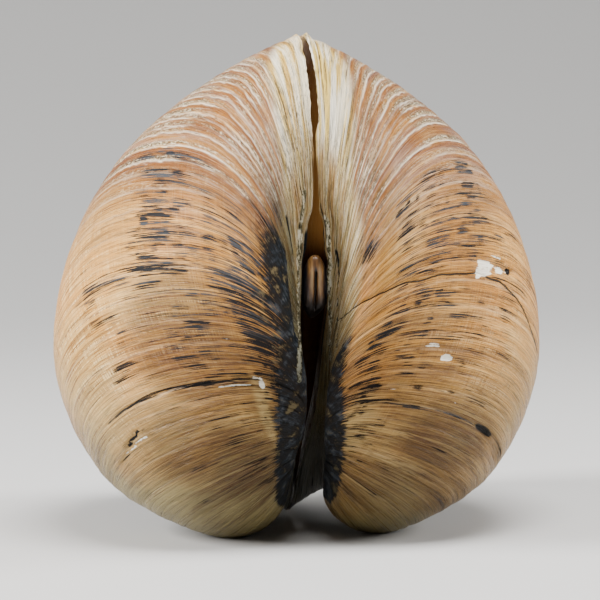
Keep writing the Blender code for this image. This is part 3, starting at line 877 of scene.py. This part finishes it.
    # brown smudges and black streaks that follow the growth lines
    share = field("streakShare")
    smudgeRows = span(plus(times(dashes, 0.5), times(stripes, 0.5)), 0.45, 0.51)
    smudge = times(field("smudgeShare"), smudgeRows)
    paint(times(smudge, 0.8), c["brown"])
    hairZone = plus(0.35, times(furrow, 0.65))
    hair = times(span(stripes, 0.55, 0.60), hairZone)
    paint(times(hair, 0.8), c["umber"])
    stainRows = span(plus(times(dashes, 0.6), times(stripes, 0.4)), 0.49, 0.55)
    stainLines = times(field("stainShare"), stainRows)
    paint(times(stainLines, 0.75), c["brown"])
    mark = plus(times(minus(dashes, 0.5), 1.0), times(minus(stripes, 0.5), 0.9))
    over = plus(minus(mark, 0.225), times(share, 0.235))
    halo = span(over, -0.08, 0.01)
    paint(times(halo, 0.5), c["brown"])
    streakInk = span(over, -0.01, 0.025)
    inkBlue = mixed(tree, span(hairs, 0.44, 0.60), c["blueBlack"], c["slate"])
    inkColour = mixed(tree, span(height, 0.026, 0.044), c["black"], inkBlue)
    paint(times(streakInk, 0.97), inkColour)
    seamInk = span(plus(field("seamShare"), times(minus(dashes, 0.5), 2.6)), 0.52, 0.66)
    paint(times(seamInk, 0.95), c["black"])

    # what is left of the dark outer skin, ragged along the growth lines
    ragged = times(minus(jags, 0.5), 7.0)
    skin = plus(field("skinDepth"), ragged)
    patch = plus(minus(times(field("patchShare"), 2.0), 1.5), times(ragged, 1.3))
    skinInk = span(larger(skin, patch), -0.2, 0.25)
    skinGrain = grain(tree, place, (0.5, 0.5, 1.0), 6.0, 0.8, (1, 1, 9))
    skinGrain = plus(times(skinGrain, 0.4), times(fineCloud, 0.6))
    skinColour = ramp(
        tree,
        skinGrain,
        [
            (0.38, c["olive"]), (0.44, c["black"]), (0.52, c["blueBlack"]),
            (0.58, c["blueGrey"]), (0.66, c["olive"]),
        ],
    )
    paint(times(skinInk, 0.98), skinColour)

    # crack, pit, chips and the crusty ridge beside the ligament
    crackWave = plus(field("crackRun"), times(minus(fineCloud, 0.5), 0.5))
    crackInk = span(maths(tree, "ABSOLUTE", crackWave), 0.30, 0.10)
    paint(times(crackInk, 0.95), c["black"])
    chipShare = plus(field("chipShare"), times(minus(jags, 0.5), 1.6))
    chipShare = plus(chipShare, times(minus(fineCloud, 0.5), 2.0))
    chipInk = span(chipShare, 0.62, 0.74)
    paint(chipInk, c["white"])
    pitShare = plus(field("pitShare"), times(minus(fineCloud, 0.5), 0.8))
    paint(span(pitShare, 0.4, 0.6), c["black"])
    crust = grain(tree, position, (1500, 1500, 500), 5.0, 0.75)
    paint(span(field("trenchShare"), 0.35, 0.7), c["blueBlack"])
    crustColour = ramp(
        tree,
        crust,
        [
            (0.38, c["black"]), (0.43, c["olive"]), (0.48, c["greyGreen"]),
            (0.53, c["palest"]), (0.59, c["white"]),
        ],
    )
    # painted shade: the crust darkens lower down beside the ligament
    crustShades = [(0.0, (0.17, 0.18, 0.16, 1)), (1.0, (0.82, 0.84, 0.80, 1))]
    crustShade = ramp(tree, span(height, 0.024, 0.047), crustShades)
    crustColour = mixed(tree, 1.0, crustColour, crustShade, "MULTIPLY")
    paint(span(field("ridgeShare"), 0.35, 0.6), crustColour)
    # painted shade: the inside of the valve is black low down and brown only near the top of the gape
    innerColour = mixed(tree, span(height, 0.039, 0.045), c["black"], c["inside"])
    paint(field("insideShare"), innerColour)
    # painted shade: the rim faces inside the gape are black low down and pale only near the top
    rimFaceColour = mixed(tree, span(height, 0.044, 0.052), c["black"], c["worn"])
    paint(field("rimFaceShare"), rimFaceColour)

    foldColour = mixed(tree, span(striae, 0.4, 0.6), c["straw"], c["worn"])
    paint(span(field("foldShare"), 0.3, 0.7), foldColour)

    # painted shade: the colour is darker and bluer towards the underside
    shade = ramp(tree, span(height, 0.0, 0.042), [(0.0, (0.42, 0.49, 0.58, 1)), (1.0, (1, 1, 1, 1))])
    paint(1.0, shade, "MULTIPLY")
    tree.links.new(body, surface.inputs["Base Color"])

    dark = larger(streakInk, skinInk)
    roughness = plus(0.30, times(creamShare, 0.3))
    roughness = plus(roughness, times(minus(striae, 0.5), 0.4))
    roughness = plus(roughness, times(dark, 0.6))
    tree.links.new(roughness, surface.inputs["Roughness"])
    surface.inputs["Metallic"].default_value = 0.0
    surface.inputs["Specular IOR Level"].default_value = 0.17
    # painted glow: the inside gives off its own brown light near the top of the gape
    glowShare = times(field("insideShare"), span(height, 0.041, 0.047))
    tree.links.new(mixed(tree, glowShare, (0, 0, 0, 1), c["inside"]), surface.inputs["Emission Color"])
    surface.inputs["Emission Strength"].default_value = 0.34  # daylight through the thin wall
    heightField = plus(times(striae, 0.8), times(fineStriae, 0.4))
    heightField = plus(heightField, times(creamShare, times(fibreGrain, 1.4)))
    heightField = minus(heightField, times(dark, 0.10))
    heightField = minus(heightField, times(crackInk, 0.5))
    bump = addNode(tree, "ShaderNodeBump", {"Height": heightField, "Strength": 0.8, "Distance": 0.0005})
    tree.links.new(bump.outputs[0], surface.inputs["Normal"])
    return material


def plainMaterial(name, colour, roughness, specular=0.5):
    material = bpy.data.materials.new(name)
    material.use_nodes = True
    surface = material.node_tree.nodes["Principled BSDF"]
    surface.inputs["Base Color"].default_value = colour
    surface.inputs["Roughness"].default_value = roughness
    surface.inputs["Specular IOR Level"].default_value = specular
    return material


hinge = {
    "centre": (0.0, -29.3, 40.4),
    "halfSize": (2.0, 2.4, 6.0),
    "tilt": math.radians(25),
    "slitHalfWidth": 0.14,
    "slitDepth": 1.3,
    "slitEnds": (-0.55, 0.72),
    "squareness": 0.96,
    "footDepth": 2.2,
}


def makeLigament():
    bm = bmesh.new()
    bmesh.ops.create_uvsphere(bm, u_segments=96, v_segments=64, radius=1.0)
    half = Vector(hinge["halfSize"])
    low, high = hinge["slitEnds"]
    for vert in bm.verts:
        x, y, z = (math.copysign(abs(part) ** hinge["squareness"], part) for part in vert.co)
        inSlit = eased((z - low) / 0.2) * eased((high - z) / 0.2)
        slit = math.exp(-((x * half.x / hinge["slitHalfWidth"]) ** 2)) * inSlit
        lips = 0.16 * math.cos(x * math.pi) * (y < 0)
        wave = 0.08 * noise.noise(Vector((x * 3, y * 3, z * 5)))
        taper = 1 - 0.25 * eased((-z - 0.2) / 0.8)
        depth = y * half.y * (1 + wave - lips) + (slit * hinge["slitDepth"] if y < 0 else 0)
        depth += hinge["footDepth"] * eased((-z - 0.2) / 0.8)
        vert.co = Vector((x * half.x * taper, depth, z * half.z))
    bmesh.ops.rotate(bm, cent=(0, 0, 0), matrix=Matrix.Rotation(hinge["tilt"], 3, "X"), verts=bm.verts)
    bmesh.ops.translate(bm, vec=Vector(hinge["centre"]), verts=bm.verts)
    bmesh.ops.scale(bm, vec=(mm, mm, mm), verts=bm.verts)
    mesh = bpy.data.meshes.new("hingeLigament")
    bm.to_mesh(mesh)
    bm.free()
    mesh.shade_smooth()
    piece = bpy.data.objects.new("hingeLigament", mesh)
    bpy.context.scene.collection.objects.link(piece)
    return piece


def ligamentMaterial():
    material = bpy.data.materials.new("driedHorn")
    material.use_nodes = True
    tree = material.node_tree
    surface = tree.nodes["Principled BSDF"]
    position = addNode(tree, "ShaderNodeTexCoord").outputs["Object"]
    parts = addNode(tree, "ShaderNodeSeparateXYZ", {0: position})
    fibres = grain(tree, position, (2600, 500, 260), 3.0, 0.6)
    horn = [(0.35, (0.045, 0.016, 0.004, 1)), (0.5, (0.13, 0.055, 0.014, 1)), (0.66, (0.28, 0.14, 0.04, 1))]
    colour = ramp(tree, fibres, horn)
    middle = maths(tree, "ABSOLUTE", parts.outputs["X"])
    # painted highlight: two pale bands, one on each side of the slit
    pale = between(tree, middle, 0.0003, 0.0005)
    pale = maths(tree, "MULTIPLY", pale, between(tree, middle, 0.0010, 0.0006))
    pale = maths(tree, "MULTIPLY", pale, between(tree, parts.outputs["Z"], 0.0455, 0.0430))
    pale = maths(tree, "MULTIPLY", pale, between(tree, parts.outputs["Z"], 0.0388, 0.0415))
    colour = mixed(tree, maths(tree, "MULTIPLY", pale, 0.45), colour, (0.56, 0.35, 0.14, 1))
    # painted shade: blue-black at the sides where the ligament meets the rims, and black at its foot
    edge = between(tree, middle, 0.0009, 0.0015)
    colour = mixed(tree, edge, colour, (0.008, 0.009, 0.016, 1))
    foot = between(tree, parts.outputs["Z"], 0.0405, 0.0378)
    colour = mixed(tree, foot, colour, (0.006, 0.004, 0.003, 1))
    # painted shade: near black inside the slit
    inSlit = between(tree, middle, 0.00028, 0.00013)
    inSlit = maths(tree, "MULTIPLY", inSlit, between(tree, parts.outputs["Z"], 0.0445, 0.0435))
    colour = mixed(tree, inSlit, colour, (0.010, 0.004, 0.002, 1))
    tree.links.new(colour, surface.inputs["Base Color"])
    surface.inputs["Roughness"].default_value = 0.42
    bump = addNode(tree, "ShaderNodeBump", {"Height": fibres, "Strength": 0.5, "Distance": 0.0003})
    tree.links.new(bump.outputs[0], surface.inputs["Normal"])
    return material


print("valves: growing both")
shell = shellMaterial()
for name, node, side, marks in (
    ("rightShell", "right_valve", 1, rightMarks),
    ("leftShell", "left_valve", -1, leftMarks),
):
    valve = makeValve(name, side, marks)
    valve.data.materials.append(shell)
    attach(valve, "root")
    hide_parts(node)

print("ligament: shaping it")
ligament = makeLigament()
ligament.data.materials.append(ligamentMaterial())
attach(ligament, "root")
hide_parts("ligament")


studio = {
    "floorColour": (0.50, 0.49, 0.475, 1),
    "worldColour": (0.82, 0.85, 0.90, 1),
    "worldStrength": 0.13,
    "lights": (  # name, place, aim, size, power
        ("topBox", (0.06, -0.20, 0.55), (0, 0, 0.04), (0.30, 0.22), 7.2),
        ("leftBox", (-0.62, -0.10, 0.34), (0, 0, 0.04), (0.22, 0.35), 14.5),
        ("rightBox", (0.62, -0.05, 0.28), (0, 0, 0.04), (0.20, 0.30), 6.0),
    ),
    "cameraPlace": (-0.05351, -0.52802, 0.07939),
    "cameraAim": (-0.00015, -0.00945, 0.03736),
    "cameraRoll": math.radians(-0.85),
    "lens": 198.1,
}


def addSoftLight(name, place, aim, size, power, colour=(1, 1, 1)):
    data = bpy.data.lights.new(name, "AREA")
    data.shape = "RECTANGLE"
    data.size, data.size_y = size
    data.energy = power
    data.color = colour
    lamp = bpy.data.objects.new(name, data)
    lamp.location = place
    lamp.rotation_mode = "QUATERNION"
    lamp.rotation_quaternion = (Vector(aim) - Vector(place)).to_track_quat("-Z", "Y")
    bpy.context.scene.collection.objects.link(lamp)


def makeStudio():
    bm = bmesh.new()
    bmesh.ops.create_grid(bm, x_segments=1, y_segments=48, size=1.6)
    for vert in bm.verts:
        over = vert.co.y - 0.35  # the floor sweeps up behind the shell
        if over > 0:
            bend = min(over / 0.8, math.pi / 2)
            vert.co.y = 0.35 + 0.8 * math.sin(bend)
            vert.co.z = 0.8 * (1 - math.cos(bend)) + max(0.0, over - 0.8 * math.pi / 2)
    mesh = bpy.data.meshes.new("floor")
    bm.to_mesh(mesh)
    bm.free()
    mesh.shade_smooth()
    floor = bpy.data.objects.new("floor", mesh)
    bpy.context.scene.collection.objects.link(floor)
    mesh.materials.append(plainMaterial("paleFloor", studio["floorColour"], 0.6, 0.3))
    world = bpy.data.worlds.new("studio")
    world.use_nodes = True
    world.node_tree.nodes["Background"].inputs["Color"].default_value = studio["worldColour"]
    world.node_tree.nodes["Background"].inputs["Strength"].default_value = studio["worldStrength"]
    bpy.context.scene.world = world
    for light in studio["lights"]:
        addSoftLight(*light)
    data = bpy.data.cameras.new("photoCamera")
    data.lens = studio["lens"]
    data.sensor_width = 36.0
    data.clip_start = 0.01
    data.clip_end = 20.0
    camera = bpy.data.objects.new("photoCamera", data)
    camera.location = studio["cameraPlace"]
    camera.rotation_mode = "QUATERNION"
    aim = Vector(studio["cameraAim"]) - camera.location
    camera.rotation_quaternion = aim.to_track_quat("-Z", "Y") @ Quaternion((0, 0, 1), studio["cameraRoll"])
    bpy.context.scene.collection.objects.link(camera)
    bpy.context.scene.camera = camera


print("studio: floor, lights and camera")
makeStudio()
